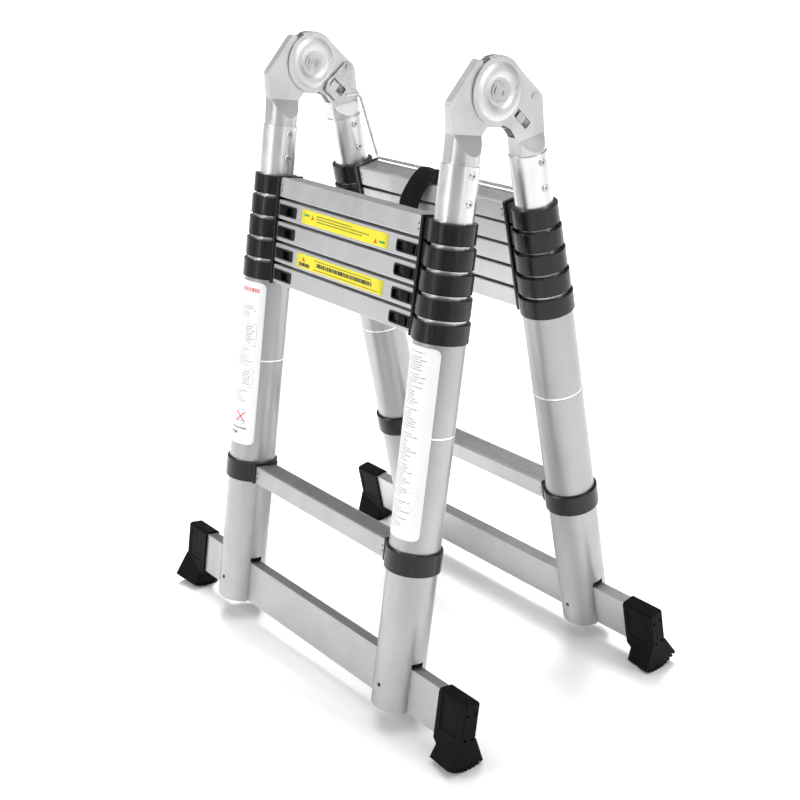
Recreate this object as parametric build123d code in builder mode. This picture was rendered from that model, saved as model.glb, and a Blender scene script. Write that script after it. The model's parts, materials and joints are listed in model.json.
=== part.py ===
from build123d import *

# Telescopic multi position ladder, standing as an A-frame with every stage closed.
# Two equal sections of five nested tube pairs meet at two locking hinges.
# Millimetres, +Z up, origin on the floor midway between the four feet.
# The rear section is the front section turned half a turn about Z, so both use the same functions.

import os
from math import cos, radians, sin

os.makedirs("parts", exist_ok=True)

# ---------------------------------------------------------------- driving dimensions
LEG_ANGLE = 10.04          # each section leans this far from vertical
HALF_SPAN = 189.6          # stile centreline to the middle plane
PIVOT_OFFSET = 39.0        # hinge axis to stile centreline
RUNG_SPACING = 295.0       # between rungs when pulled out
CLOSED_PITCH = 29.7        # between rungs when pushed in
CLEARANCE = 0.35           # between curved faces that slide

STAGES = (1, 2, 3, 4, 5)   # 1 is the widest tube, at the floor
TUBE_WALL = 1.6
TOP_TUBE_RADIUS = 24.1
TUBE_STEP = 2.25
TUBE_5_TOP = 87.0          # positions along the leg are measured down from the hinge axis
RING_TOP = 413.5
TUBE_1_END = 784.0
TUBE_2_END = 630.0
TUBE_OVERLAP_STEP = 29.7   # each inner tube ends this much higher than the one around it
TRAVEL = RUNG_SPACING - CLOSED_PITCH

COLLAR_1 = 285.3           # centre of the lowest collar
COLLAR_HEIGHT = 25.9
COLLAR_5_RADIUS = 29.7
COLLAR_STEP = 1.5
COLLAR_LIP = 4.5
MIDDLE_COLLAR = 580.3
MIDDLE_COLLAR_HEIGHT = 29.6
MIDDLE_COLLAR_RADIUS = 36.8
MIDDLE_RUNG = 582.0

RUNG_HEIGHT = 26.0
RUNG_DEPTH = 34.0
RUNG_WALL = 1.6
RUNG_HALF = 152.0
FLANGE = 5.0
FLANGE_DEPTH = 40.0
SPIGOT_INNER = 106.0       # inner end of the plug inside a rung

LOCK_SLOT = (111.5, 147.0)     # pocket for a lock button, along the rung
LOCK_FACE = 18.2               # bezel face, outward of the rung centre
LOCK_HALF_HEIGHT = 5.8
BUTTON_LENGTH = 16.0
BUTTON_OUTER = 144.5
TONGUE = (11.0, 14.0)          # recessed tongue that closes the pocket behind a button
TONGUE_END = 108.5
TONGUE_GAP = 0.4
PIN_RADIUS = 4.0
PIN_BORE = 4.4

BAR_CENTRE = 752.0
BAR_HEIGHT = 61.0
BAR_DEPTH = 18.0
BAR_WALL = 2.0
BAR_HALF = 320.0
BAR_RIVET_RADIUS = 3.5
NOTCH_TOP = 715.0
FOOT_ARC_CENTRE = 757.0
FOOT_ARC_RADIUS = 55.0
FOOT_X = (280.0, 331.0)
FOOT_HALF_DEPTH = 12.0
FOOT_TOP = 718.5
FOOT_WAIST = 793.0
FOOT_PANEL_CENTRE = 747.0
SOLE_X = (288.0, 331.0)
FLANK_TOP = (789.0, 769.0)     # start of the sole's flanks, at its inner and outer ends

DISC_RADIUS = 40.0
LOCK_DISC_RADIUS = 42.0
INNER_PLATE = (3.5, 6.0)       # hinge plates, either side of the stile centreline
OUTER_PLATE = (6.4, 8.9)
SLEEVE_RADIUS = 22.4
SLEEVE_BORE = 19.4
SLEEVE_END = 140.0
PIVOT_RADIUS = 6.0
RIVET_RADIUS = 3.0
BOLT_ANGLE = 135.0             # lock bolts point down at 45 degrees, in the A-frame position
BOLT_HALF_WIDTH = 5.0
BOLT_LENGTH = 12.0
BOLT_WINDOW_RADIUS = 51.6
BOLT_WINDOW_LENGTH = 27.0
LEVER_PIN_RADIUS = 4.0
LEVER_X = (176.8, 178.8)       # release levers, inboard of the rear plates
LEVER_PIN_YZ = (57.0, -12.0)   # from the hinge axis
LEVER_OUTLINE = ((51, -5), (62, -5), (64, -14), (57, -40), (72, -44.5), (72, -52.5), (50, -53.5),
                 (33, -55.5), (15, -38), (20, -28))
ROD_RADIUS = 2.2

STRAP_CENTRE = -28.0
STRAP_WIDTH = 40.0
STRAP_TAIL = ((43.0, -145.0), (44.6, -172.0), (44.6, -240.0), (41.8, -240.0), (41.6, -172.0),
              (40.6, -150.0))
RIVET_HEIGHTS = (97.0, 130.0)

TILT = radians(LEG_ANGLE)
PIVOT_HEIGHT = FOOT_ARC_RADIUS + FOOT_ARC_CENTRE * cos(TILT) - PIVOT_OFFSET * sin(TILT)
LEVER_PIN = (LEVER_PIN_YZ[0] * cos(TILT) + LEVER_PIN_YZ[1] * sin(TILT),
             LEVER_PIN_YZ[0] * sin(TILT) - LEVER_PIN_YZ[1] * cos(TILT))

# ---------------------------------------------------------------- derived positions


def tube_radius(stage):
    return TOP_TUBE_RADIUS + TUBE_STEP * (5 - stage)


def collar_centre(stage):
    return COLLAR_1 - CLOSED_PITCH * (stage - 1)


def collar_radius(stage):
    return COLLAR_5_RADIUS + COLLAR_STEP * (5 - stage)


def tube_top(stage):
    if stage == 5:
        return TUBE_5_TOP
    return collar_centre(stage) - COLLAR_HEIGHT / 2 + COLLAR_LIP


def tube_end(stage):
    if stage == 1:
        return TUBE_1_END
    return TUBE_2_END - TUBE_OVERLAP_STEP * (stage - 2)


def stile_plane(turn):
    """Plane square to the stiles, level with the hinge axis: x across, y outward, z down the leg."""
    outward = Vector(0, turn * cos(TILT), sin(TILT))
    down = Vector(0, turn * sin(TILT), -cos(TILT))
    origin = Vector(0, 0, PIVOT_HEIGHT) + outward * PIVOT_OFFSET
    return Plane(origin=origin, x_dir=(-turn, 0, 0), z_dir=down)


def side_plane(section, x):
    """Plane square to the hinge axis: x outward from the axis, y down the leg."""
    middle = Plane(origin=(0, 0, PIVOT_HEIGHT), x_dir=section.y_dir, z_dir=section.x_dir)
    return middle.offset(x)


def face_plane(section, outward):
    """Plane facing outward from the rungs: x across, y up the leg, so heights are negative."""
    middle = Plane(origin=section.origin, x_dir=section.x_dir, z_dir=section.y_dir)
    return middle.offset(outward)


def save(piece, name):
    piece.part.label = name
    export_step(piece.part, f"parts/{name}.step")


# ---------------------------------------------------------------- stiles


def tube_pair(section, stage):
    """Left and right stile tubes of one stage, with the holes that the lock pins enter."""
    radius = tube_radius(stage)
    shanks = rivet_shanks(section)
    with BuildPart() as pair:
        with BuildSketch(section.offset(tube_top(stage))):
            with Locations((-HALF_SPAN, 0), (HALF_SPAN, 0)):
                Circle(radius)
                Circle(radius - TUBE_WALL, mode=Mode.SUBTRACT)
        extrude(amount=tube_end(stage) - tube_top(stage))
        pin_heights = []
        if stage < 5:
            pin_heights.append(collar_centre(stage))
        if stage > 1:
            pin_heights.append(collar_centre(stage - 1) + TRAVEL)
        with BuildSketch(side_plane(section, 0)):
            with Locations(*[(PIVOT_OFFSET, height) for height in pin_heights]):
                Circle(PIN_BORE)
        extrude(amount=HALF_SPAN, both=True, mode=Mode.SUBTRACT)
        if stage == 5:
            add(shanks, mode=Mode.SUBTRACT)
            add(mirror(shanks, about=Plane.YZ, mode=Mode.PRIVATE), mode=Mode.SUBTRACT)
        if stage == 1:
            # Notches that straddle the stabiliser bar, and the holes of its tubular rivets
            with BuildSketch(section.offset(NOTCH_TOP)):
                with Locations((-HALF_SPAN, 0), (HALF_SPAN, 0)):
                    Rectangle(2 * radius + 4, BAR_DEPTH + 0.4)
            extrude(amount=TUBE_1_END - NOTCH_TOP + 1, mode=Mode.SUBTRACT)
            with BuildSketch(face_plane(section, 0)):
                with Locations((-HALF_SPAN, -BAR_CENTRE), (HALF_SPAN, -BAR_CENTRE)):
                    Circle(BAR_RIVET_RADIUS)
            extrude(amount=radius + 2, both=True, mode=Mode.SUBTRACT)
            # Rolled ring
            with BuildSketch(section.offset(RING_TOP)):
                with Locations((-HALF_SPAN, 0), (HALF_SPAN, 0)):
                    Circle(radius + 1)
                    Circle(radius - 0.5, mode=Mode.SUBTRACT)
            extrude(amount=3, mode=Mode.SUBTRACT)
    return pair


def collar_ring(section, centre, rung_centre, height, radius, bore, lock, flange_height):
    """One collar at the positive side: ring, flange, plug inside the rung, and lock bezel."""
    inner, outer = LOCK_SLOT
    slot_middle = (inner + outer) / 2
    plug_face = RUNG_DEPTH / 2 - RUNG_WALL - 0.3
    top = section.offset(centre - height / 2)
    with BuildPart() as collar:
        with BuildSketch(top):
            with Locations((HALF_SPAN, 0)):
                Circle(radius)
        ring = extrude(amount=height)
        chamfer(ring.edges().filter_by(GeomType.CIRCLE), length=1.0)
        with BuildSketch(top):
            with Locations(((RUNG_HALF + HALF_SPAN) / 2, 0)):
                Rectangle(HALF_SPAN - RUNG_HALF, RUNG_DEPTH)
        extrude(amount=height)
        with BuildSketch(section.offset(centre - flange_height / 2)):
            with Locations((RUNG_HALF + FLANGE / 2, 0)):
                RectangleRounded(FLANGE, FLANGE_DEPTH, 1.5)
        extrude(amount=flange_height)
        with BuildSketch(side_plane(section, SPIGOT_INNER)):
            with Locations((PIVOT_OFFSET, rung_centre)):
                Rectangle(RUNG_DEPTH - 2 * RUNG_WALL - 0.4, RUNG_HEIGHT - 2 * RUNG_WALL - 0.4)
        extrude(amount=RUNG_HALF - SPIGOT_INNER)
        if lock:
            # Raised bezel on the rung face, then the pocket and bore that the lock runs in
            with BuildSketch(face_plane(section, plug_face)) as frame:
                with Locations((slot_middle, -centre)):
                    Rectangle(outer - inner + 4.5, 2 * LOCK_HALF_HEIGHT + 3.5)
                fillet(frame.vertices().group_by(Axis.X)[0], radius=4)
            extrude(amount=LOCK_FACE - plug_face)
            with BuildSketch(face_plane(section, -6)):
                with Locations((slot_middle, -centre)):
                    Rectangle(outer - inner, 2 * LOCK_HALF_HEIGHT)
            extrude(amount=TONGUE[1] + TONGUE_GAP + 6, mode=Mode.SUBTRACT)
            with BuildSketch(face_plane(section, TONGUE[1])) as mouth:
                with Locations((slot_middle, -centre)):
                    Rectangle(outer - inner, 2 * LOCK_HALF_HEIGHT)
                fillet(mouth.vertices().group_by(Axis.X)[0], radius=3.5)
            extrude(amount=LOCK_FACE - TONGUE[1] + 2, mode=Mode.SUBTRACT)
            # Slit that the button's tongue slides through, into the hollow rung
            with BuildSketch(face_plane(section, TONGUE[0] - TONGUE_GAP)):
                with Locations(((SPIGOT_INNER + inner) / 2, -centre)):
                    Rectangle(inner - SPIGOT_INNER + 2, 2 * LOCK_HALF_HEIGHT)
            extrude(amount=TONGUE[1] - TONGUE[0] + 2 * TONGUE_GAP, mode=Mode.SUBTRACT)
            with BuildSketch(side_plane(section, outer - 1)):
                with Locations((PIVOT_OFFSET, centre)):
                    Circle(PIN_BORE)
            extrude(amount=HALF_SPAN - outer, mode=Mode.SUBTRACT)
        with BuildSketch(section.offset(centre - flange_height / 2 - 1)):
            with Locations((HALF_SPAN, 0)):
                Circle(bore)
        extrude(amount=flange_height + 2, mode=Mode.SUBTRACT)
    return collar.part


def bottom_bush(section, stage):
    """Guide bush in the lower end of a sliding tube, at the positive side."""
    end = tube_end(stage)
    radius = tube_radius(stage)
    plug = 14.0
    wall = 6.0
    with BuildPart() as bush:
        with BuildSketch(section.offset(end)):
            with Locations((HALF_SPAN, 0)):
                Circle(radius + 0.3)
                Circle(radius - wall, mode=Mode.SUBTRACT)
        extrude(amount=4)
        with BuildSketch(section.offset(end - plug)):
            with Locations((HALF_SPAN, 0)):
                Circle(radius - TUBE_WALL)
                Circle(radius - wall, mode=Mode.SUBTRACT)
        extrude(amount=plug)
    return bush.part


def collar_pair(section, stage):
    """Collars of one stage; the lowest stage also has the pair that carries the middle rung."""
    centre = collar_centre(stage)
    pieces = [collar_ring(section, centre, centre, COLLAR_HEIGHT, collar_radius(stage),
                          tube_radius(stage), stage < 5, CLOSED_PITCH - 0.4)]
    if stage == 1:
        pieces.append(collar_ring(section, MIDDLE_COLLAR, MIDDLE_RUNG, MIDDLE_COLLAR_HEIGHT,
                                  MIDDLE_COLLAR_RADIUS, tube_radius(1), False, MIDDLE_COLLAR_HEIGHT))
    else:
        pieces.append(bottom_bush(section, stage))
    with BuildPart() as pair:
        add(pieces)
        if stage < 5:
            # Lip over the end of this stage's tube, around the next tube
            with BuildSketch(section.offset(centre - COLLAR_HEIGHT / 2)):
                with Locations((HALF_SPAN, 0)):
                    Circle(tube_radius(stage) + 1)
                    Circle(tube_radius(stage + 1) + CLEARANCE, mode=Mode.SUBTRACT)
            extrude(amount=COLLAR_LIP)
        mirror(about=Plane.YZ)
    return pair


# ---------------------------------------------------------------- rungs


def rung(section, centre, windows, marks):
    """Hollow rung with a ridged tread, windows for the lock bezels and punched marks."""
    inner_height = RUNG_HEIGHT - 2 * RUNG_WALL
    inner_depth = RUNG_DEPTH - 2 * RUNG_WALL
    groove_count = 7
    groove_pitch = 3.6
    with BuildPart() as step:
        with BuildSketch(side_plane(section, 0)):
            with Locations((PIVOT_OFFSET, centre)):
                RectangleRounded(RUNG_DEPTH, RUNG_HEIGHT, 1.5)
                Rectangle(inner_depth, inner_height, mode=Mode.SUBTRACT)
            with Locations((PIVOT_OFFSET, centre - RUNG_HEIGHT / 2)):
                with GridLocations(groove_pitch, 1, groove_count, 1):
                    Rectangle(1.6, 1.8, mode=Mode.SUBTRACT)
        extrude(amount=RUNG_HALF, both=True)
        if windows:
            middle = sum(LOCK_SLOT) / 2
            length = LOCK_SLOT[1] - LOCK_SLOT[0] + 4.7
            with BuildSketch(face_plane(section, RUNG_DEPTH / 2 - 2)):
                with Locations((-middle, -centre), (middle, -centre)):
                    Rectangle(length, 2 * LOCK_HALF_HEIGHT + 3.7)
            extrude(amount=4, mode=Mode.SUBTRACT)
        if marks:
            with BuildSketch(face_plane(section, 0)):
                for height in (centre - 3.5, centre + 3.5):
                    with Locations((-RUNG_HALF + 5, -height), (RUNG_HALF - 5, -height)):
                        Circle(1.3)
            extrude(amount=RUNG_DEPTH / 2 + 1, both=True, mode=Mode.SUBTRACT)
    return step


def stabiliser_bar(section):
    """Hollow bar that crosses the notches of the lowest tubes, and its two tubular rivets."""
    with BuildPart() as bar:
        with BuildSketch(side_plane(section, 0)):
            with Locations((PIVOT_OFFSET, BAR_CENTRE)):
                RectangleRounded(BAR_DEPTH, BAR_HEIGHT, 1.2)
                Rectangle(BAR_DEPTH - 2 * BAR_WALL, BAR_HEIGHT - 2 * BAR_WALL, mode=Mode.SUBTRACT)
            with Locations((PIVOT_OFFSET, BAR_CENTRE - BAR_HEIGHT / 2)):
                with GridLocations(3.2, 1, 4, 1):
                    Rectangle(1.3, 1.2, mode=Mode.SUBTRACT)
        extrude(amount=BAR_HALF, both=True)
        with BuildSketch(face_plane(section, 0)):
            with Locations((-HALF_SPAN, -BAR_CENTRE), (HALF_SPAN, -BAR_CENTRE)):
                Circle(BAR_RIVET_RADIUS)
        extrude(amount=BAR_DEPTH, both=True, mode=Mode.SUBTRACT)
        with BuildSketch(face_plane(section, 0)):
            with Locations((-HALF_SPAN, -BAR_CENTRE), (HALF_SPAN, -BAR_CENTRE)):
                Circle(BAR_RIVET_RADIUS)
                Circle(BAR_RIVET_RADIUS - 0.9, mode=Mode.SUBTRACT)
        extrude(amount=tube_radius(1) - 0.6, both=True)
    return bar


# ---------------------------------------------------------------- feet


def foot_sole(section):
    """Toothed sole of the right-hand foot, curved about the bar and widest at its outer end."""
    tooth_angle = LEG_ANGLE * 2 / 3     # one tooth then lies flat on the floor
    teeth = 10
    land = 2.2
    root = 0.9
    root_depth = 4.2
    points = []
    for index in range(teeth):
        angle = radians(tooth_angle * (teeth / 2 - 0.5 - index))
        points.append((angle, land, FOOT_ARC_RADIUS))
        points.append((angle, -land, FOOT_ARC_RADIUS))
        if index < teeth - 1:
            gap = angle - radians(tooth_angle / 2)
            points.append((gap, root, FOOT_ARC_RADIUS - root_depth))
            points.append((gap, -root, FOOT_ARC_RADIUS - root_depth))
    toothed = []
    for angle, offset, radius in points:
        outward = PIVOT_OFFSET + radius * sin(angle) + offset * cos(angle)
        down = FOOT_ARC_CENTRE + radius * cos(angle) - offset * sin(angle)
        toothed.append((outward, down))
    inner, outer = side_plane(section, SOLE_X[0]), side_plane(section, SOLE_X[1])
    with BuildPart() as sole:
        with BuildSketch(inner):
            with BuildLine():
                Polyline((PIVOT_OFFSET + FOOT_HALF_DEPTH, FLANK_TOP[1]), *toothed,
                         (PIVOT_OFFSET - FOOT_HALF_DEPTH, FLANK_TOP[1]), close=True)
            make_face()
        extrude(amount=SOLE_X[1] - SOLE_X[0])
        # The flanks slope down to the inner end, which leaves a narrower sole there
        for side, tip in ((1, toothed[0]), (-1, toothed[-1])):
            shoulder = PIVOT_OFFSET + side * FOOT_HALF_DEPTH
            start = outer.from_local_coords((shoulder, FLANK_TOP[1], 0))
            down_edge = outer.from_local_coords((*tip, 0)) - start
            along_edge = inner.from_local_coords((shoulder, FLANK_TOP[0], 0)) - start
            flank = Plane(origin=start, x_dir=down_edge, z_dir=along_edge.cross(down_edge) * side)
            split(bisect_by=flank, keep=Keep.BOTTOM)
    return sole.part


def foot_pair(section):
    """Moulded feet on the ends of a stabiliser bar, each a cap on a curved, toothed sole."""
    down_leg = Axis((0, 0, 0), section.z_dir)
    across = Axis((0, 0, 0), section.x_dir)
    sole = foot_sole(section)
    with BuildPart() as feet:
        with BuildSketch(side_plane(section, FOOT_X[0])) as cap:
            with Locations((PIVOT_OFFSET, (FOOT_TOP + FOOT_WAIST) / 2)):
                Rectangle(2 * FOOT_HALF_DEPTH, FOOT_WAIST - FOOT_TOP)
            fillet(cap.vertices().group_by(Axis.Y)[0], radius=5)
        block = extrude(amount=FOOT_X[1] - FOOT_X[0])
        end_face = block.faces().sort_by(across)[-1]
        fillet(end_face.edges().sort_by(down_leg)[:-1], radius=3)
        inner_face = feet.faces().sort_by(across)[0]
        chamfer(inner_face.edges().sort_by(down_leg)[-1], length=SOLE_X[0] - FOOT_X[0] - 1)
        add(sole)
        with BuildSketch(side_plane(section, FOOT_X[0] - 1)):
            with Locations((PIVOT_OFFSET, BAR_CENTRE)):
                Rectangle(BAR_DEPTH, BAR_HEIGHT)
        extrude(amount=BAR_HALF - FOOT_X[0] + 1, mode=Mode.SUBTRACT)
        # Shallow panels in both sides and four sockets in the end face
        for outward in (-FOOT_HALF_DEPTH - 1, FOOT_HALF_DEPTH - 0.8):
            with BuildSketch(face_plane(section, outward)):
                with Locations(((FOOT_X[0] + FOOT_X[1]) / 2, -FOOT_PANEL_CENTRE)):
                    RectangleRounded(36, 44, 4)
            extrude(amount=1.8, mode=Mode.SUBTRACT)
        with BuildSketch(side_plane(section, FOOT_X[1] - 4)):
            with Locations((PIVOT_OFFSET, BAR_CENTRE)):
                with GridLocations(12, 34, 2, 2):
                    Circle(2)
        extrude(amount=5, mode=Mode.SUBTRACT)
        mirror(about=Plane.YZ)
    return feet


# ---------------------------------------------------------------- rung locks


def rung_lock(section, stage, side):
    """Button, tongue, carriage and pin of one rung lock, in one moulded piece."""
    centre = collar_centre(stage)
    inner = BUTTON_OUTER - BUTTON_LENGTH
    pin_tip = HALF_SPAN - tube_radius(stage + 1) - CLEARANCE
    half_height = LOCK_HALF_HEIGHT - 0.4
    with BuildPart() as lock:
        with BuildSketch(face_plane(section, -5.5)):
            with Locations((side * (inner + BUTTON_OUTER) / 2, -centre)):
                Rectangle(BUTTON_LENGTH, 2 * half_height)
        extrude(amount=LOCK_FACE + 1.2 + 5.5)
        with BuildSketch(face_plane(section, TONGUE[0])):
            with Locations((side * (TONGUE_END + inner + 1) / 2, -centre)):
                Rectangle(inner + 1 - TONGUE_END, 2 * half_height)
        extrude(amount=TONGUE[1] - TONGUE[0])
        with BuildSketch(face_plane(section, LOCK_FACE + 1.2)):
            with Locations((side * (BUTTON_OUTER - 7.4), -centre)):
                with GridLocations(2.9, 1, 5, 1):
                    Rectangle(1.2, 2 * half_height)
        extrude(amount=1)
        with BuildSketch(side_plane(section, side * (BUTTON_OUTER - 1))):
            with Locations((PIVOT_OFFSET, centre)):
                Circle(PIN_RADIUS)
        extrude(amount=side * (pin_tip - BUTTON_OUTER + 1))
    return lock


# ---------------------------------------------------------------- hinges


def front_leaves(section):
    """Inner hinge leaves: a folded plate with a full lock disc, swaged into a round sleeve."""
    shanks = rivet_shanks(section)
    gap = INNER_PLATE[0]
    half = INNER_PLATE[1]
    with BuildPart() as leaves:
        with BuildSketch(side_plane(section, HALF_SPAN - half)) as outline:
            with BuildLine():
                Polyline((16.4, 84), (16.4, 51.6), (8, 40), (0, 0), (7.3, -41.3), (36.3, -33.2),
                         (70, 17.5), (63.5, 52), (61.4, 84), close=True)
            make_face()
            fillet(outline.vertices().sort_by_distance((70, 17.5))[0], radius=6)
            Circle(LOCK_DISC_RADIUS)
        extrude(amount=2 * half)
        with BuildSketch(section.offset(40)):
            with Locations((HALF_SPAN, 0)):
                Circle(SLEEVE_RADIUS)
        extrude(amount=SLEEVE_END - 40)
        # The sleeve's sides are flattened down to the plates by two sloping faces
        with BuildSketch(face_plane(section, -30)):
            for side in (-1, 1):
                with BuildLine():
                    Polyline((HALF_SPAN + side * half, -39), (HALF_SPAN + side * half, -52),
                             (HALF_SPAN + side * 23, -76), (HALF_SPAN + side * 23, -39), close=True)
                make_face()
        extrude(amount=60, mode=Mode.SUBTRACT)
        # Open between the plates, closed along the outer edge
        with BuildSketch(side_plane(section, HALF_SPAN - gap)):
            with BuildLine():
                Polyline((-45, -50), (25, -50), (34.5, -31), (66, 17.5), (60, 48), (14, 48),
                         (-45, 48), close=True)
            make_face()
        extrude(amount=2 * gap, mode=Mode.SUBTRACT)
        with BuildSketch(section.offset(80)):
            with Locations((HALF_SPAN, 0)):
                Circle(SLEEVE_BORE)
        extrude(amount=SLEEVE_END - 79, mode=Mode.SUBTRACT)
        # Pivot hole, and the notches that the lock bolts drop into: folded, A-frame and straight
        with BuildSketch(side_plane(section, HALF_SPAN - half - 1)):
            Circle(PIVOT_RADIUS)
            for angle in (BOLT_ANGLE - LEG_ANGLE, BOLT_ANGLE + LEG_ANGLE, BOLT_ANGLE + 180 - LEG_ANGLE):
                with PolarLocations(LOCK_DISC_RADIUS, 1, start_angle=angle):
                    Rectangle(8, 2 * BOLT_HALF_WIDTH + 1)
        extrude(amount=2 * half + 2, mode=Mode.SUBTRACT)
        add(shanks, mode=Mode.SUBTRACT)
        mirror(about=Plane.YZ)
    return leaves


def rivet_shanks(section):
    """Straight rods that fill the rivet holes of one hinge sleeve and its tube."""
    half = TOP_TUBE_RADIUS + 0.5
    with BuildPart() as shanks:
        with BuildSketch(side_plane(section, HALF_SPAN - half)):
            with Locations(*[(PIVOT_OFFSET, height) for height in RIVET_HEIGHTS]):
                Circle(RIVET_RADIUS)
        extrude(amount=2 * half)
    return shanks.part


def rear_leaves(section):
    """Outer hinge leaves: two pressed plates either side of the lock disc, on a round sleeve."""
    shanks = rivet_shanks(section)
    inner, outer = OUTER_PLATE
    with BuildPart() as leaves:
        with BuildSketch(side_plane(section, HALF_SPAN - outer)) as outline:
            with BuildLine():
                Polyline((16.6, 84), (17.3, 62), (11.5, 49.8), (-2, 39.5), (0, 0), (32.5, -22.7),
                         (66.7, 23.5), (62.6, 64.9), (61.4, 84), close=True)
            make_face()
            fillet(outline.vertices().sort_by_distance((66.7, 23.5))[0], radius=5)
            fillet(outline.vertices().sort_by_distance((11.5, 49.8))[0], radius=14)
            Circle(DISC_RADIUS)
        extrude(amount=2 * outer)
        with BuildSketch(section.offset(55)):
            with Locations((HALF_SPAN, 0)):
                Circle(SLEEVE_RADIUS)
        extrude(amount=SLEEVE_END - 55)
        # The sleeve's sides are flattened down to the plates by two sloping faces
        with BuildSketch(face_plane(section, -30)):
            for side in (-1, 1):
                with BuildLine():
                    Polyline((HALF_SPAN + side * outer, -50), (HALF_SPAN + side * outer, -68),
                             (HALF_SPAN + side * 23, -85), (HALF_SPAN + side * 23, -50), close=True)
                make_face()
        extrude(amount=60, mode=Mode.SUBTRACT)
        # Open between the plates as far down as the sleeve
        with BuildSketch(side_plane(section, HALF_SPAN - inner)):
            with Locations((10, 2)):
                Rectangle(130, 120)
        extrude(amount=2 * inner, mode=Mode.SUBTRACT)
        with BuildSketch(section.offset(88)):
            with Locations((HALF_SPAN, 0)):
                Circle(SLEEVE_BORE)
        extrude(amount=SLEEVE_END - 87, mode=Mode.SUBTRACT)
        # Pressed dome around the pivot and a stop dimple, on both outer faces
        with BuildSketch(axis_plane(section)):
            for face in (-1, 1):
                with BuildLine():
                    edge = HALF_SPAN + face * outer
                    ThreePointArc((17, edge), (25.5, edge + face * 1.5), (34, edge))
                    Polyline((34, edge), (34, edge - face), (17, edge - face), (17, edge))
                make_face()
        revolve(axis=Axis((0, 0, PIVOT_HEIGHT), section.x_dir))
        with BuildSketch(side_plane(section, HALF_SPAN)):
            with Locations((26.8, 3.7)):
                Circle(2.6)
        dimple = extrude(amount=outer + 2, both=True)
        with BuildSketch(side_plane(section, HALF_SPAN - inner)):
            with Locations((10, 2)):
                Rectangle(130, 120)
        extrude(amount=2 * inner, mode=Mode.SUBTRACT)
        with BuildSketch(side_plane(section, HALF_SPAN - outer - 3)):
            Circle(PIVOT_RADIUS + CLEARANCE)
            with Locations(LEVER_PIN):
                Circle(LEVER_PIN_RADIUS)
            with PolarLocations(BOLT_WINDOW_RADIUS, 1, start_angle=BOLT_ANGLE - 90 + LEG_ANGLE):
                Rectangle(BOLT_WINDOW_LENGTH, 2 * BOLT_HALF_WIDTH + 1)
        extrude(amount=2 * outer + 6, mode=Mode.SUBTRACT)
        add(shanks, mode=Mode.SUBTRACT)
        mirror(about=Plane.YZ)
    return leaves


def axis_plane(section):
    """Plane through the hinge axis: x outward from it, y along it."""
    return Plane(origin=(0, 0, PIVOT_HEIGHT), x_dir=section.y_dir, z_dir=-section.z_dir)


def sleeve_rivets(section):
    """Tubular rivets through a hinge sleeve and its tube, with heads at both sides of the stile."""
    seat = TOP_TUBE_RADIUS
    with BuildPart() as rivets:
        add(rivet_shanks(section))
        for side in (-1, 1):
            with BuildSketch(side_plane(section, HALF_SPAN + side * seat)):
                with Locations(*[(PIVOT_OFFSET, height) for height in RIVET_HEIGHTS]):
                    Circle(5)
            extrude(amount=side * 1.5, taper=25)
            with BuildSketch(side_plane(section, HALF_SPAN + side * (seat - 1))):
                with Locations(*[(PIVOT_OFFSET, height) for height in RIVET_HEIGHTS]):
                    Circle(1.8)
            extrude(amount=side * 3, mode=Mode.SUBTRACT)
    return rivets.part


def front_fasteners(section):
    """Hinge pivots with stepped heads, and the front sleeve rivets."""
    head = OUTER_PLATE[1] + 0.3
    rivets = sleeve_rivets(section)
    with BuildPart() as fasteners:
        with BuildSketch(axis_plane(section)):
            with BuildLine():
                Polyline((0, HALF_SPAN - head - 1), (5, HALF_SPAN - head - 1),
                         (5, HALF_SPAN - head - 2), (9, HALF_SPAN - head - 2),
                         (9, HALF_SPAN - head - 0.8), (13, HALF_SPAN - head - 0.8),
                         (13, HALF_SPAN - head), (PIVOT_RADIUS, HALF_SPAN - head),
                         (PIVOT_RADIUS, HALF_SPAN + head), (13, HALF_SPAN + head),
                         (13, HALF_SPAN + head + 0.8), (9, HALF_SPAN + head + 0.8),
                         (9, HALF_SPAN + head + 2), (5, HALF_SPAN + head + 2),
                         (5, HALF_SPAN + head + 1), (0, HALF_SPAN + head + 1), close=True)
            make_face()
        revolve(axis=Axis((0, 0, PIVOT_HEIGHT), section.x_dir))
        add(rivets)
        mirror(about=Plane.YZ)
    return fasteners


def rear_fasteners(section):
    """Pins of the release levers, and the rear sleeve rivets."""
    inboard = LEVER_X[0] - 0.3
    outboard = HALF_SPAN + OUTER_PLATE[1]
    rivets = sleeve_rivets(section)
    with BuildPart() as fasteners:
        for start, length, radius in ((inboard, outboard - inboard + 0.5, LEVER_PIN_RADIUS),
                                      (inboard - 1.2, 1.2, 5.5), (outboard, 1.4, 5)):
            with BuildSketch(side_plane(section, start)):
                with Locations(LEVER_PIN):
                    Circle(radius)
            extrude(amount=length)
        add(rivets)
        mirror(about=Plane.YZ)
    return fasteners


def hinge_guards(section):
    """Moulded blocks between the rear plates that close the throat of each hinge."""
    half = OUTER_PLATE[0] - 0.3
    with BuildPart() as guards:
        with BuildSketch(side_plane(section, HALF_SPAN - half)):
            with BuildLine():
                Polyline((-1, 43), (8, 42.6), (15, 41), (22, 52), (22, 61.5), (17.4, 61.5),
                         (11.5, 50.5), (4, 45), close=True)
            make_face()
        extrude(amount=2 * half)
        mirror(about=Plane.YZ)
    return guards


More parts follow.
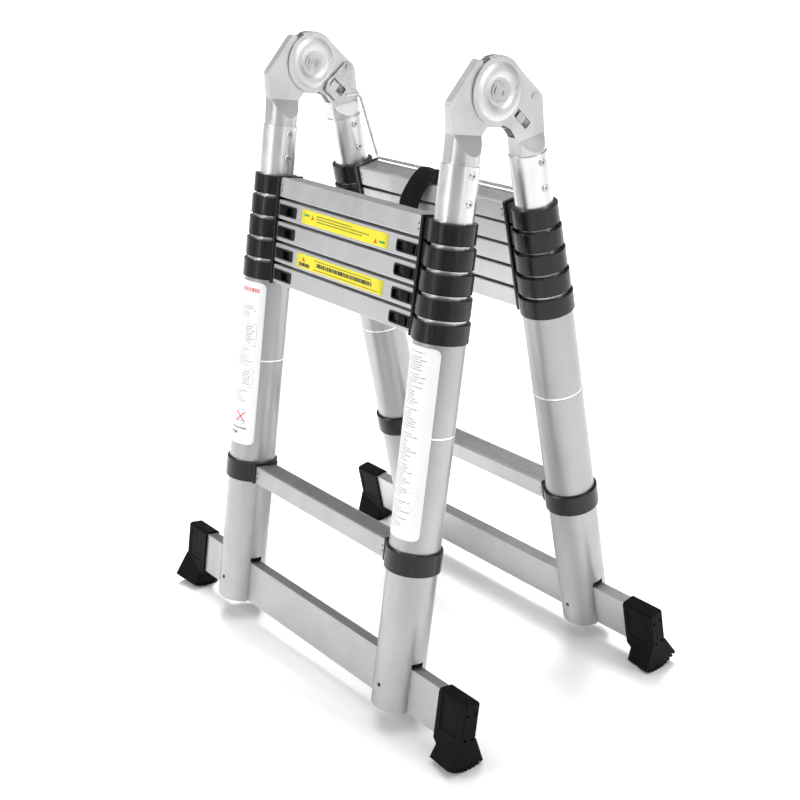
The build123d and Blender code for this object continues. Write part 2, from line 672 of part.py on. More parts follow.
def lock_bolts(section):
    """Square bolts that slide in the windows of the rear plates, towards the lock discs."""
    start = LOCK_DISC_RADIUS + 0.4
    half = OUTER_PLATE[1]
    with BuildPart() as bolts:
        with BuildSketch(side_plane(section, HALF_SPAN - half)):
            with PolarLocations(start + BOLT_LENGTH / 2, 1, start_angle=BOLT_ANGLE - 90 + LEG_ANGLE):
                Rectangle(BOLT_LENGTH, 2 * BOLT_HALF_WIDTH)
        extrude(amount=2 * half)
        chamfer(bolts.edges().filter_by(Axis.X), length=0.8)
        mirror(about=Plane.YZ)
    return bolts


def release_bar():
    """Two release levers joined by one bent rod behind the stiles and over the top rung."""
    lower, upper = LEVER_X
    rod_x = (lower + upper) / 2
    with BuildPart() as bar:
        with BuildSketch(Plane.YZ.offset(lower)) as lever:
            with BuildLine():
                Polyline(*[(y, PIVOT_HEIGHT + z) for y, z in LEVER_OUTLINE], close=True)
            make_face()
            fillet(lever.vertices(), radius=2.5)
            with Locations((LEVER_PIN_YZ[0], PIVOT_HEIGHT + LEVER_PIN_YZ[1])):
                Circle(LEVER_PIN_RADIUS + CLEARANCE, mode=Mode.SUBTRACT)
            with Locations((0, PIVOT_HEIGHT)):
                with PolarLocations(BOLT_WINDOW_RADIUS, 1, start_angle=-45):
                    Rectangle(BOLT_WINDOW_LENGTH, 2 * BOLT_HALF_WIDTH + 3, mode=Mode.SUBTRACT)
        extrude(amount=upper - lower)
        mirror(about=Plane.YZ)
        with BuildLine() as route:
            corners = [(rod_x, 50, -49), (rod_x, 74, -49), (146, 79, -137), (-146, 79, -137),
                       (-rod_x, 74, -49), (-rod_x, 50, -49)]
            FilletPolyline(*[(x, y, PIVOT_HEIGHT + z) for x, y, z in corners], radius=9)
        with BuildSketch(Plane(origin=route.line @ 0, z_dir=route.line % 0)):
            Circle(ROD_RADIUS)
        sweep()
    return bar


def strap(section):
    """Webbing loop around the rear top rung, with a tail hanging between the two sections."""
    centre = collar_centre(5)
    thickness = 1.6
    slack = 0.4
    with BuildPart() as web:
        with BuildSketch(side_plane(section, -STRAP_CENTRE - STRAP_WIDTH / 2)):
            with Locations((PIVOT_OFFSET, centre)):
                outside = 2 * (slack + thickness)
                RectangleRounded(RUNG_DEPTH + outside, RUNG_HEIGHT + outside, 3)
                RectangleRounded(RUNG_DEPTH + 2 * slack, RUNG_HEIGHT + 2 * slack, 1.5, mode=Mode.SUBTRACT)
        extrude(amount=STRAP_WIDTH)
        with BuildSketch(Plane.YZ.offset(STRAP_CENTRE - STRAP_WIDTH / 2)):
            with BuildLine():
                Polyline(*[(y, PIVOT_HEIGHT + z) for y, z in STRAP_TAIL], close=True)
            make_face()
        extrude(amount=STRAP_WIDTH)
    return web


# ---------------------------------------------------------------- write every piece

for turn, place in ((-1, "front"), (1, "rear")):
    half_ladder = stile_plane(turn)
    for number in STAGES:
        save(tube_pair(half_ladder, number), f"{place}_tubes_{number}")
        save(collar_pair(half_ladder, number), f"{place}_collars_{number}")
        step = rung(half_ladder, collar_centre(number), number < 5, number == 5)
        save(step, f"{place}_rung_{number}")
        if number < 5:
            save(rung_lock(half_ladder, number, -turn), f"{place}_lock_{number}_right")
            save(rung_lock(half_ladder, number, turn), f"{place}_lock_{number}_left")
    save(rung(half_ladder, MIDDLE_RUNG, False, True), f"{place}_middle_rung")
    save(stabiliser_bar(half_ladder), f"{place}_stabiliser_bar")
    save(foot_pair(half_ladder), f"{place}_feet")

front = stile_plane(-1)
rear = stile_plane(1)
save(front_leaves(front), "front_hinge_plates")
save(front_fasteners(front), "front_hinge_fasteners")
save(rear_leaves(rear), "rear_hinge_plates")
save(rear_fasteners(rear), "rear_hinge_fasteners")
save(hinge_guards(rear), "hinge_guards")
save(lock_bolts(rear), "hinge_lock_bolts")
save(release_bar(), "hinge_release_bar")
save(strap(rear), "strap")
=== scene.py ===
import json
import math

import bpy
from mathutils import Matrix, Vector


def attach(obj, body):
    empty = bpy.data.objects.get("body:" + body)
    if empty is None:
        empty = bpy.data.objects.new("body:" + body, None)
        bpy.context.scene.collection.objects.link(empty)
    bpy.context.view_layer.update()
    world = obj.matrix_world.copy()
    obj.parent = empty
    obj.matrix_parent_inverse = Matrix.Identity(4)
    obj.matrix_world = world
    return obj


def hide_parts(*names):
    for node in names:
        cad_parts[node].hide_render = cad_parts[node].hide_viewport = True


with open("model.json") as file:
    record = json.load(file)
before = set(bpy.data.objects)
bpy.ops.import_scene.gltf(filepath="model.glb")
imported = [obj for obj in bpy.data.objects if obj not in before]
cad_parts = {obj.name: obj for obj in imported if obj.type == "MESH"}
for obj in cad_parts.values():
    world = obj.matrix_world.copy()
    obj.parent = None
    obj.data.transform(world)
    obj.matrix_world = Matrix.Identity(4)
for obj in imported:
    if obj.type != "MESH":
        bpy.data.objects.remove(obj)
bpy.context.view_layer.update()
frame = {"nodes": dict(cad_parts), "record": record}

HINGE = next(joint for joint in frame["record"]["behaviour"]["joints"] if joint["name"] == "hinge")
PIVOT = HINGE["pos_m"][2]           # height of the hinge axis
LEAN = math.radians(10.04)          # each section leans this far from vertical
HALF_SPAN = 0.1896                  # stile centreline to the middle plane
OFFSET = 0.039                      # hinge axis to stile centreline
TUBE_1_RADIUS = 0.0331
PITCH = 0.0297                      # between rungs when pushed in
RUNG_1 = 0.2853                     # centre of the lowest folded rung, down the section
RUNG_HALF_DEPTH = 0.017
FRONT, REAR = -1, 1


def point(turn, across, outward, down):
    """A place on one section: across it, outward of its stile centreline and down from the hinge axis."""
    y = (OFFSET + outward) * math.cos(LEAN) + down * math.sin(LEAN)
    z = (OFFSET + outward) * math.sin(LEAN) - down * math.cos(LEAN)
    return Vector((across, turn * y, PIVOT + z))


# ---------------------------------------------------------------- materials


def node(material, kind, inputs=None, **settings):
    """Add a shader node, set its properties, and set or link its inputs."""
    made = material.node_tree.nodes.new("ShaderNode" + kind)
    for key, value in settings.items():
        setattr(made, key, value)
    for key, value in (inputs or {}).items():
        if isinstance(value, bpy.types.NodeSocket):
            material.node_tree.links.new(value, made.inputs[key])
        else:
            made.inputs[key].default_value = value
    return made


def new_material(name):
    """An empty node material and its Principled shader."""
    material = bpy.data.materials.new(name)
    material.use_nodes = True
    material.node_tree.nodes.clear()
    surface = node(material, "BsdfPrincipled")
    node(material, "OutputMaterial", {"Surface": surface.outputs["BSDF"]})
    return material, surface


def join(material, socket, target):
    material.node_tree.links.new(socket, target)


def dress(material, surface, colour, gloss, bump, **constants):
    """Link the colour, roughness and bump of a shader and set its other sockets."""
    join(material, colour, surface.inputs["Base Color"])
    join(material, gloss, surface.inputs["Roughness"])
    join(material, bump.outputs["Normal"], surface.inputs["Normal"])
    for key, value in constants.items():
        surface.inputs[key.replace("_", " ")].default_value = value
    return material


def leg_coordinates(material, turn):
    """Object coordinates turned so that Z runs along the stiles of one section."""
    place = node(material, "TexCoord").outputs["Object"]
    return node(material, "Mapping", {"Vector": place, "Rotation": (-turn * LEAN, 0, 0)}).outputs["Vector"]


def stretched_noise(material, vector, scale, detail=3.0, roughness=0.6):
    """Noise whose grain is stretched by a different amount along each axis."""
    mapped = node(material, "Mapping", {"Vector": vector, "Scale": scale})
    made = node(material, "TexNoise", {"Vector": mapped.outputs["Vector"], "Scale": 1.0,
                                       "Detail": detail, "Roughness": roughness})
    return made.outputs["Fac"]


def spread(material, value, low, high, out_low, out_high):
    """Remap a value from one range to another, clamped."""
    made = node(material, "MapRange", {"Value": value, "From Min": low, "From Max": high,
                                       "To Min": out_low, "To Max": out_high})
    return made.outputs["Result"]


def vary(material, noise, low, high):
    """Spread noise over a range, clamping the few values past its usual span."""
    return spread(material, noise, 0.3, 0.7, low, high)


COLOUR_A, COLOUR_B, COLOUR_RESULT = 6, 7, 2     # sockets of a Mix node whose data type is RGBA


def blend_colour(material, factor, first, second):
    made = node(material, "Mix", {0: factor, COLOUR_A: first, COLOUR_B: second}, data_type="RGBA")
    return made.outputs[COLOUR_RESULT]


def maths(material, operation, first, second=0.0):
    return node(material, "Math", {0: first, 1: second}, operation=operation).outputs["Value"]


def inside(material, value, low, high):
    """1 where the value lies between two limits."""
    return maths(material, "MULTIPLY", maths(material, "GREATER_THAN", value, low),
                 maths(material, "LESS_THAN", value, high))


def both(material, *masks):
    """1 where every mask is 1."""
    result = masks[0]
    for mask in masks[1:]:
        result = maths(material, "MULTIPLY", result, mask)
    return result


def either(material, *masks):
    """1 where any mask is 1."""
    result = masks[0]
    for mask in masks[1:]:
        result = maths(material, "MAXIMUM", result, mask)
    return result


def grey(level):
    """A faintly cool grey."""
    return (level, level * 1.004, level * 1.012, 1)


def down_section(material, turn):
    """Distance down one section from the hinge axis."""
    place = node(material, "TexCoord").outputs["Object"]
    along = node(material, "VectorMath", {0: place, 1: (0, turn * math.sin(LEAN), -math.cos(LEAN))},
                 operation="DOT_PRODUCT")
    return maths(material, "ADD", along.outputs["Value"], PIVOT * math.cos(LEAN))


# a near-white colour painted on as the highlight that the rolled ring's edge catches
RING_HIGHLIGHT = (0.97, 0.97, 0.98, 1)


def aluminium(name, turn, grain, tone, roughness, depth, ring=None):
    """Drawn or extruded aluminium: fine lines along the grain, handling marks, and maybe a painted highlight
    ring.
    """
    material, surface = new_material(name)
    place = leg_coordinates(material, turn)
    lines = stretched_noise(material, place, grain, 5.0, 0.7)
    marks = stretched_noise(material, place, (38, 38, 21), 4.0)
    clouds = stretched_noise(material, place, (7, 7, 4), 2.0)
    shade = maths(material, "ADD", maths(material, "MULTIPLY", lines, 0.55),
                  maths(material, "MULTIPLY", clouds, 0.45))
    colour = blend_colour(material, vary(material, shade, 0, 1),
                          grey(tone * 0.9), grey(tone * 1.06))
    gloss = maths(material, "ADD", spread(material, marks, 0.35, 0.7, roughness - 0.04, roughness + 0.07),
                  vary(material, lines, -0.03, 0.04))
    bump = node(material, "Bump", {"Height": lines, "Strength": 0.22, "Distance": depth})
    if ring:
        # painted highlight: a near-white band at the rolled ring, broken up by noise, standing in for the
        # light its edge catches
        highlight_breakup = stretched_noise(material, place, (17, 17, 3), 1.0)
        painted_ring_highlight = both(material, inside(material, down_section(material, turn), *ring),
                        spread(material, highlight_breakup, 0.36, 0.46, 0.3, 1))
        colour = blend_colour(material, painted_ring_highlight, colour, RING_HIGHLIGHT)
    return dress(material, surface, colour, gloss, bump, Metallic=1.0)


def pressed_metal(name, tone, roughness):
    """Tumbled, lightly painted pressings: soft orange peel and small brighter scuffs."""
    material, surface = new_material(name)
    place = node(material, "TexCoord").outputs["Object"]
    peel = stretched_noise(material, place, (520, 520, 520), 2.0)
    clouds = stretched_noise(material, place, (24, 24, 24), 4.0)
    scuffs = stretched_noise(material, place, (160, 160, 90), 6.0, 0.75)
    colour = blend_colour(material, vary(material, clouds, 0, 1),
                          grey(tone * 0.92), grey(tone * 1.05))
    colour = blend_colour(material, spread(material, scuffs, 0.66, 0.74, 0, 0.5),
                          colour, grey(min(1, tone * 1.2)))
    gloss = vary(material, clouds, roughness - 0.05, roughness + 0.06)
    bump = node(material, "Bump", {"Height": peel, "Strength": 0.2, "Distance": 0.0002})
    return dress(material, surface, colour, gloss, bump, Metallic=0.85)


def plated_steel(name, tone, roughness):
    """Bright zinc plate with fine crystalline mottling."""
    material, surface = new_material(name)
    place = node(material, "TexCoord").outputs["Object"]
    crystals = node(material, "TexVoronoi", {"Vector": place, "Scale": 900.0}).outputs["Distance"]
    clouds = stretched_noise(material, place, (80, 80, 80), 4.0)
    colour = blend_colour(material, vary(material, clouds, 0, 1), grey(tone * 0.85), grey(tone))
    gloss = maths(material, "ADD", vary(material, clouds, roughness - 0.05, roughness + 0.08),
                  spread(material, crystals, 0.0, 0.6, -0.02, 0.02))
    bump = node(material, "Bump", {"Height": crystals, "Strength": 0.03, "Distance": 0.0001})
    return dress(material, surface, colour, gloss, bump, Metallic=1.0)


def moulded(name, turn, tone, roughness, grain, depth, shine):
    """Black moulded plastic or rubber: spark-eroded grain, faint draw lines and rubbed patches."""
    material, surface = new_material(name)
    place = leg_coordinates(material, turn)
    texture = stretched_noise(material, place, (grain, grain, grain), 2.0)
    drawn = stretched_noise(material, place, (260, 260, 12), 4.0, 0.7)
    patches = stretched_noise(material, place, (32, 32, 22), 4.0)
    dark, light = (tone, tone, tone * 1.04, 1), (tone * 2.1, tone * 2.1, tone * 2.2, 1)
    colour = blend_colour(material, spread(material, patches, 0.4, 0.75, 0, 0.7), dark, light)
    gloss = maths(material, "ADD", vary(material, patches, roughness - 0.05, roughness + 0.1),
                  vary(material, drawn, -0.11, 0.16))
    height = maths(material, "ADD", texture, maths(material, "MULTIPLY", drawn, 1.2))
    bump = node(material, "Bump", {"Height": height, "Strength": 0.25, "Distance": depth})
    return dress(material, surface, colour, gloss, bump, Specular_IOR_Level=shine)


RING = (0.4139, 0.4160)             # the band of painted highlight at a rolled ring round each lowest tube, down from the hinge axis


def finish_for(turn):
    """The finishes of one section, with the tube and bar tones partly painted light and shade."""
    side = "front" if turn == FRONT else "rear"
    # painted shade: the front section's middle rung and stabiliser bar take a darker tone than the rear's,
    # though both are one aluminium
    front_shaded_bar_tone = 0.45 if turn == FRONT else 0.54
    along_leg, along_rung = (900, 900, 5), (5, 900, 900)
    return {
        # painted light and shade: one tube aluminium in three tones; the middle tubes are lightened against
        # the collars' shade, the lowest painted darker and the highest painted brighter
        "tube_aluminium": aluminium(f"tube_{side}", turn, along_leg, 0.72, 0.32, 0.00008),
        "lowest_tube_painted_dark": aluminium(f"painted_dark_ringed_tube_{side}", turn, along_leg, 0.41, 0.38, 0.00008, RING),
        "highest_tube_painted_bright": aluminium(f"painted_bright_tube_{side}", turn, along_leg, 0.84, 0.34, 0.00004),
        "rung_aluminium": aluminium(f"rung_{side}", turn, along_rung, 0.58, 0.46, 0.00006),
        "bar_aluminium": aluminium(f"bar_{side}", turn, along_rung, front_shaded_bar_tone, 0.46, 0.00006),
        "hinge_metal": pressed_metal(f"hinge_{side}", 0.66, 0.36),
        "steel": plated_steel(f"steel_{side}", 0.72, 0.26),
        "black_plastic": moulded(f"plastic_{side}", turn, 0.0035, 0.24, 900, 0.00008, 0.42),
        "black_rubber": moulded(f"rubber_{side}", turn, 0.003, 0.55, 650, 0.0002, 0.09),
    }


# ---------------------------------------------------------------- carried-over pieces

# a node takes the finish of the first of these words that its name contains; the strap is replaced
FINISH_OF = {
    "lock_bolts": "steel", "release_bar": "steel", "fasteners": "steel", "hinge_plates": "hinge_metal",
    "tubes_1": "lowest_tube_painted_dark", "tubes_5": "highest_tube_painted_bright", "tubes": "tube_aluminium",
    "middle_rung": "bar_aluminium", "stabiliser_bar": "bar_aluminium", "rung": "rung_aluminium",
    "collars": "black_plastic", "lock": "black_plastic", "guards": "black_plastic", "feet": "black_rubber",
}
finishes = {FRONT: finish_for(FRONT), REAR: finish_for(REAR)}
for name, piece in frame["nodes"].items():
    word = next((word for word in FINISH_OF if word in name), None)
    if word:
        turn = FRONT if name.startswith("front") else REAR
        for holder in piece.material_slots:
            holder.material = finishes[turn][FINISH_OF[word]]

# ---------------------------------------------------------------- camera, floor and lights

CAMERA_PLACE = Vector((1.3963, -1.0854, PIVOT + 0.2519))
YAW, PITCH_DOWN, ROLL = 0.91329, 0.37499, -0.03033
FOCAL_LENGTH, SENSOR_WIDTH, FARTHEST = 61.39, 36.0, 60.0
ahead = Vector((-math.sin(YAW) * math.cos(PITCH_DOWN), math.cos(YAW) * math.cos(PITCH_DOWN),
                -math.sin(PITCH_DOWN)))
level = Vector((math.cos(YAW), math.sin(YAW), 0))
over = level.cross(ahead)
right = level * math.cos(ROLL) + over * math.sin(ROLL)
upward = over * math.cos(ROLL) - level * math.sin(ROLL)
lens = bpy.data.cameras.new("camera")
lens.lens = FOCAL_LENGTH
lens.sensor_width = SENSOR_WIDTH
lens.clip_end = FARTHEST
camera = bpy.data.objects.new("camera", lens)
bpy.context.collection.objects.link(camera)
turned = Matrix((right, upward, -ahead)).transposed().to_4x4()
turned.translation = CAMERA_PLACE
camera.matrix_world = turned
bpy.context.scene.camera = camera


def add_mesh(name, vertices, faces, material, smooth=True):
    """A mesh object in the frame's own coordinates."""
    mesh = bpy.data.meshes.new(name)
    mesh.from_pydata([tuple(v) for v in vertices], [], faces)
    mesh.materials.append(material)
    for face in mesh.polygons:
        face.use_smooth = smooth
    made = bpy.data.objects.new(name, mesh)
    bpy.context.collection.objects.link(made)
    return made


def floor_material():
    material, surface = new_material("floor_paint")
    place = node(material, "TexCoord").outputs["Object"]
    clouds = stretched_noise(material, place, (3, 3, 3), 4.0)
    join(material, blend_colour(material, clouds, (0.93, 0.93, 0.93, 1), (0.96, 0.96, 0.96, 1)),
         surface.inputs["Base Color"])
    surface.inputs["Roughness"].default_value = 0.7
    return material


REACH = 14.0                        # of the floor, each way
floor = add_mesh("floor", [(-REACH, -REACH, 0), (REACH, -REACH, 0), (REACH, REACH, 0), (-REACH, REACH, 0)],
                 [(0, 1, 2, 3)], floor_material())


def softbox(name, place, aim, width, height, power, mirrored=True):
    """A rectangular area light, which the camera doesn't see and shiny surfaces may or may not mirror."""
    lamp = bpy.data.lights.new(name, "AREA")
    lamp.shape = "RECTANGLE"
    lamp.size = width
    lamp.size_y = height
    lamp.energy = power
    made = bpy.data.objects.new(name, lamp)
    bpy.context.collection.objects.link(made)
    direction = Vector(aim) - Vector(place)
    made.rotation_euler = direction.to_track_quat("-Z", "Y").to_euler()
    made.location = place
    made.visible_camera = False
    made.visible_glossy = mirrored


CENTRE, STILES = (0, 0, 0.4), (0, 0, 0.7)   # what the lights aim at
softbox("key", (-1.2, -2.6, 2.3), CENTRE, 1.2, 1.2, 42)
softbox("side", (2.6, 1.0, 1.6), CENTRE, 0.6, 2.0, 20)
softbox("left_strip", (-0.1, -3.2, 0.95), STILES, 0.42, 1.4, 7)
softbox("right_strip", (3.3, -0.5, 0.95), STILES, 0.34, 1.4, 4)
softbox("top", (0.0, 0.0, 3.4), CENTRE, 3.0, 3.0, 62)
softbox("backdrop", (-1.9, 1.7, 5.4), (-4.0, 3.7, 0), 2.6, 2.6, 330, mirrored=False)
softbox("far_backdrop", (-4.2, 3.9, 8.6), (-9.5, 8.6, 0), 3.0, 3.0, 1500, mirrored=False)

world = bpy.data.worlds.new("studio")
world.use_nodes = True
sky = world.node_tree.nodes["Background"]
sky.inputs["Color"].default_value = (0.8, 0.81, 0.82, 1)
sky.inputs["Strength"].default_value = 0.46
bpy.context.scene.world = world
bpy.context.scene.view_settings.view_transform = "Standard"

# ---------------------------------------------------------------- stickers


MILLIMETRES = 1000                  # in a metre


def flat_millimetres(material):
    """Distances across and along a flat piece, from its "flat" layer."""
    flat = node(material, "UVMap", uv_map="flat").outputs["UV"]
    axes = node(material, "SeparateXYZ", {"Vector": flat})
    return (maths(material, "MULTIPLY", axes.outputs["X"], MILLIMETRES),
            maths(material, "MULTIPLY", axes.outputs["Y"], MILLIMETRES))


def paper(name, colour, roughness=0.35):
    """Printed film: the material, its shader, and its across and down coordinates in millimetres."""
    material, surface = new_material(name)
    across, down = flat_millimetres(material)
    place = node(material, "TexCoord").outputs["Object"]
    fine = stretched_noise(material, place, (700, 700, 700), 2.0)
    clouds = stretched_noise(material, place, (30, 30, 30), 3.0)
    shade = tuple(0.95 * channel for channel in colour[:3]) + (1,)
    base = blend_colour(material, vary(material, clouds, 0, 1), shade, colour)
    bump = node(material, "Bump", {"Height": fine, "Strength": 0.08, "Distance": 0.0001})
    join(material, bump.outputs["Normal"], surface.inputs["Normal"])
    join(material, vary(material, clouds, roughness - 0.05, roughness + 0.05),
         surface.inputs["Roughness"])
    return material, surface, across, down, base


ROW_SHIFT = 7.31                    # keeps the words of one row from lining up with the next row's


def rows(material, across, down, box, pitch, weight, seed, word=5.0, ragged=0.3, gaps=0.36):
    """Rows of short bars in one box, like a block of small print, with uneven line ends."""
    left, top, wide, high = box
    count = maths(material, "DIVIDE", maths(material, "SUBTRACT", down, top), pitch)
    row = maths(material, "FLOOR", count)
    within = maths(material, "FRACT", count)
    chance = node(material, "TexWhiteNoise", {"W": maths(material, "ADD", row, seed)},
                  noise_dimensions="1D").outputs["Value"]
    end = spread(material, chance, 0, 1, left + wide * (1 - ragged), left + wide)
    slots = node(material, "CombineXYZ", {"X": maths(material, "DIVIDE", across, word),
                                          "Y": maths(material, "MULTIPLY", row, ROW_SHIFT)})
    words = node(material, "TexNoise", {"Vector": slots.outputs["Vector"], "Scale": 1.6, "Detail": 1.0})
    return both(material, inside(material, down, top, top + high),
                maths(material, "LESS_THAN", within, weight),
                inside(material, across, left, end),
                maths(material, "GREATER_THAN", words.outputs["Fac"], gaps))


def block(material, across, down, box):
    """A filled rectangle."""
    left, top, wide, high = box
    return both(material, inside(material, across, left, left + wide),
                inside(material, down, top, top + high))


def frame_line(material, across, down, box, line):
    """The outline of a rectangle."""
    left, top, wide, high = box
    hole = block(material, across, down, (left + line, top + line, wide - 2 * line, high - 2 * line))
    return maths(material, "SUBTRACT", block(material, across, down, box), hole)


HALF_APEX = 0.58                    # half the width of an upright triangle for each unit of its height


def triangle(material, across, down, middle, top, high):
    """An upright filled triangle."""
    reach = maths(material, "MULTIPLY", maths(material, "SUBTRACT", down, top), HALF_APEX)
    aside = maths(material, "ABSOLUTE", maths(material, "SUBTRACT", across, middle))
    return both(material, maths(material, "LESS_THAN", aside, reach),
                inside(material, down, top, top + high))


def crossed(material, across, down, middle, centre, reach, line):
    """Two crossing strokes."""
    x = maths(material, "SUBTRACT", across, middle)
    y = maths(material, "SUBTRACT", down, centre)
    strokes = [maths(material, "LESS_THAN", maths(material, "ABSOLUTE", maths(material, kind, x, y)), line)
               for kind in ("ADD", "SUBTRACT")]
    return both(material, either(material, *strokes), inside(material, x, -reach, reach),
                inside(material, y, -reach, reach))


def printed(material, surface, base, layers):
    """Lay printed inks over the film colour."""
    colour = base
    for mask, ink in layers:
        colour = blend_colour(material, mask, colour, (*ink, 1))
    join(material, colour, surface.inputs["Base Color"])
    return material


PALE_INK, BLACK_INK = (0.36, 0.36, 0.38), (0.02, 0.02, 0.02)
RED_INK, BLUE_INK = (0.68, 0.04, 0.04), (0.1, 0.2, 0.5)
OLIVE_INK, GREEN_INK, ORANGE_INK = (0.26, 0.22, 0.02), (0.03, 0.36, 0.10), (0.62, 0.12, 0.01)
WHITE_FILM, YELLOW_FILM = (0.90, 0.90, 0.91, 1), (0.84, 0.74, 0.03, 1)


def instruction_film():
    """Small print in paragraphs down the left of the sheet."""
    material, surface, across, down, base = paper("film_instructions", WHITE_FILM)
    layers = []
    top, between = 7.0, 3.6
    for index, high in enumerate((24, 40, 28, 36, 44, 36)):
        box, seed = (12, top, 54, high), 11.0 * index + 3
        layers.append((rows(material, across, down, box, 3.1, 0.42, seed, 9.0, 0.38), PALE_INK))
        top += high + between
    return printed(material, surface, base, layers)


def picture_film():
    """A heading, boxed drawings, small print and a crossed-out picture."""
    material, surface, across, down, base = paper("film_pictures", WHITE_FILM)
    place = (material, across, down)
    drawings = []
    for top, high in ((60, 32), (126, 27)):
        drawings += [frame_line(*place, (52, top, 20, high), 0.5),
                     rows(*place, (54, top + 3, 16, high - 6), 3.6, 0.55, top, 1.5, 0.3, 0.47)]
    columns = [rows(*place, (32, top, wide, high), 3.0, 0.4, top, word, 0.35)
               for top, wide, high, word in ((35, 38, 16, 7.0), (60, 16, 30, 4.0), (96, 40, 26, 7.0),
                                             (126, 14, 20, 4.0), (158, 34, 18, 7.0))]
    layers = [
        (rows(*place, (36, 9, 36, 6), 9.0, 0.66, 2.0, 1.5, 0.05, 0.49), RED_INK),
        (either(material, *columns, *drawings), PALE_INK),
        (rows(*place, (46, 186, 20, 22), 3.4, 0.35, 37.0, 1.8, 0.5, 0.5), BLUE_INK),
        (crossed(*place, 57, 197, 8, 1.3), RED_INK),
        (rows(*place, (32, 213, 40, 2.4), 9.0, 1.0, 31.0, 1.6, 0.2, 0.47), BLACK_INK),
        (rows(*place, (34, 220, 22, 4), 9.0, 1.0, 34.0, 1.8, 0.2, 0.47), BLACK_INK),
    ]
    return printed(material, surface, base, layers)


def notice_film():
    """Three thin lines of small print between two triangles and two green bars."""
    material, surface, across, down, base = paper("film_notice", YELLOW_FILM)
    place = (material, across, down)
    layers = [
        (either(material, block(*place, (6, 5.5, 12, 3)), block(*place, (170, 11, 12, 3))), GREEN_INK),
        (either(material, triangle(*place, 25, 4.5, 6.5), triangle(*place, 163, 9.5, 6.5)), ORANGE_INK),
        (either(material, rows(*place, (34, 4.0, 80, 1.6), 9.0, 1.0, 3.0, 3.0, 0.1),
                rows(*place, (32, 7.6, 118, 1.6), 9.0, 1.0, 6.0, 3.0, 0.1),
                rows(*place, (34, 11.2, 108, 1.6), 9.0, 1.0, 8.0, 3.0, 0.2)), OLIVE_INK),
    ]
    return printed(material, surface, base, layers)


def caution_film():
    """One bold row of bars between two thin ones, with a triangle over a short heading."""
    material, surface, across, down, base = paper("film_caution", YELLOW_FILM)
    place = (material, across, down)
    layers = [
        (triangle(*place, 16, 2.5, 7), ORANGE_INK),
        (rows(*place, (6, 11.5, 26, 5), 9.0, 1.0, 4.0, 1.9, 0.05, 0.42), BLACK_INK),
        (rows(*place, (46, 6.6, 122, 5.4), 9.0, 1.0, 7.0, 1.9, 0.02, 0.45), BLACK_INK),
        (either(material, rows(*place, (40, 3.2, 132, 1.3), 9.0, 1.0, 12.0, 4.0, 0.05),
                rows(*place, (40, 15.2, 140, 1.3), 9.0, 1.0, 15.0, 4.0, 0.05)), OLIVE_INK),
    ]
    return printed(material, surface, base, layers)


FILM, GLUE = 0.00018, 0.00004       # how thick a sticker is, and how far it is from what it is stuck to


def add_flat_layer(piece, flat):
    """Keep each vertex's place on the flat piece, in metres."""
    layer = piece.data.uv_layers.new(name="flat")
    for loop in piece.data.loops:
        layer.data[loop.index].uv = flat[loop.vertex_index]


def film(name, wide, high, corner, columns, lines, shape, material):
    """A thin closed sticker with rounded corners; shape(u, v, lift) gives a place on or off the surface."""
    vertices, flat, faces = [], [], []
    for lift in (1, 0):
        for line in range(lines + 1):
            v = high * line / lines
            short = max(0.0, corner - v, corner - (high - v))
            inset = corner - math.sqrt(max(0.0, corner ** 2 - short ** 2))
            for column in range(columns + 1):
                u = inset + (wide - 2 * inset) * column / columns
                vertices.append(shape(u, v, FILM * lift))
                flat.append((u, v))
    across = columns + 1
    under = across * (lines + 1)            # from a vertex to the one below it
    for line in range(lines):
        for column in range(columns):
            a = line * across + column
            faces.append((a, a + across, a + across + 1, a + 1))
    rim = list(range(columns))
    rim += [line * across + columns for line in range(lines)]
    rim += [lines * across + column for column in range(columns, 0, -1)]
    rim += [line * across for line in range(lines, 0, -1)]
    for index, a in enumerate(rim):
        b = rim[(index + 1) % len(rim)]
        faces.append((a, b, b + under, a + under))
    made = add_mesh(name, vertices, faces, material)
    add_flat_layer(made, flat)
    return made


STICKER_TOP = 0.303                 # of the tall stickers, down from the hinge axis
STICKER_RIGHT, STICKER_ARC = math.radians(34), math.radians(140)
TALL_CORNER, LONG_CORNER = 0.009, 0.0012
LONG_HEIGHT = 0.019                 # of the long stickers


def tube_film(name, across, length, material):
    """A tall sticker wrapped round the front of one of the lowest tubes."""
    wide = STICKER_ARC * TUBE_1_RADIUS

    def shape(u, v, lift):
        angle = STICKER_RIGHT + STICKER_ARC - u / TUBE_1_RADIUS
        radius = TUBE_1_RADIUS + GLUE + lift
        return point(FRONT, across + radius * math.cos(angle), radius * math.sin(angle), STICKER_TOP + v)

    made = film(name, wide, length, TALL_CORNER, 48, 120, shape, material)
    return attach(made, "front_stage_1")


def rung_film(name, stage, left, right, material):
    """A long sticker on the outer face of one folded rung."""
    top = RUNG_1 - PITCH * (stage - 1) - LONG_HEIGHT / 2

    def shape(u, v, lift):
        return point(FRONT, left + u, RUNG_HALF_DEPTH + GLUE + lift, top + v)

    made = film(name, right - left, LONG_HEIGHT, LONG_CORNER, 12, 24, shape, material)
    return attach(made, f"front_stage_{stage}")


tube_film("sticker_instructions", HALF_SPAN, 0.246, instruction_film())
tube_film("sticker_pictures", -HALF_SPAN, 0.238, picture_film())
rung_film("sticker_notice", 4, -0.096, 0.092, notice_film())
rung_film("sticker_caution", 2, -0.099, 0.091, caution_film())

# ---------------------------------------------------------------- carrying strap


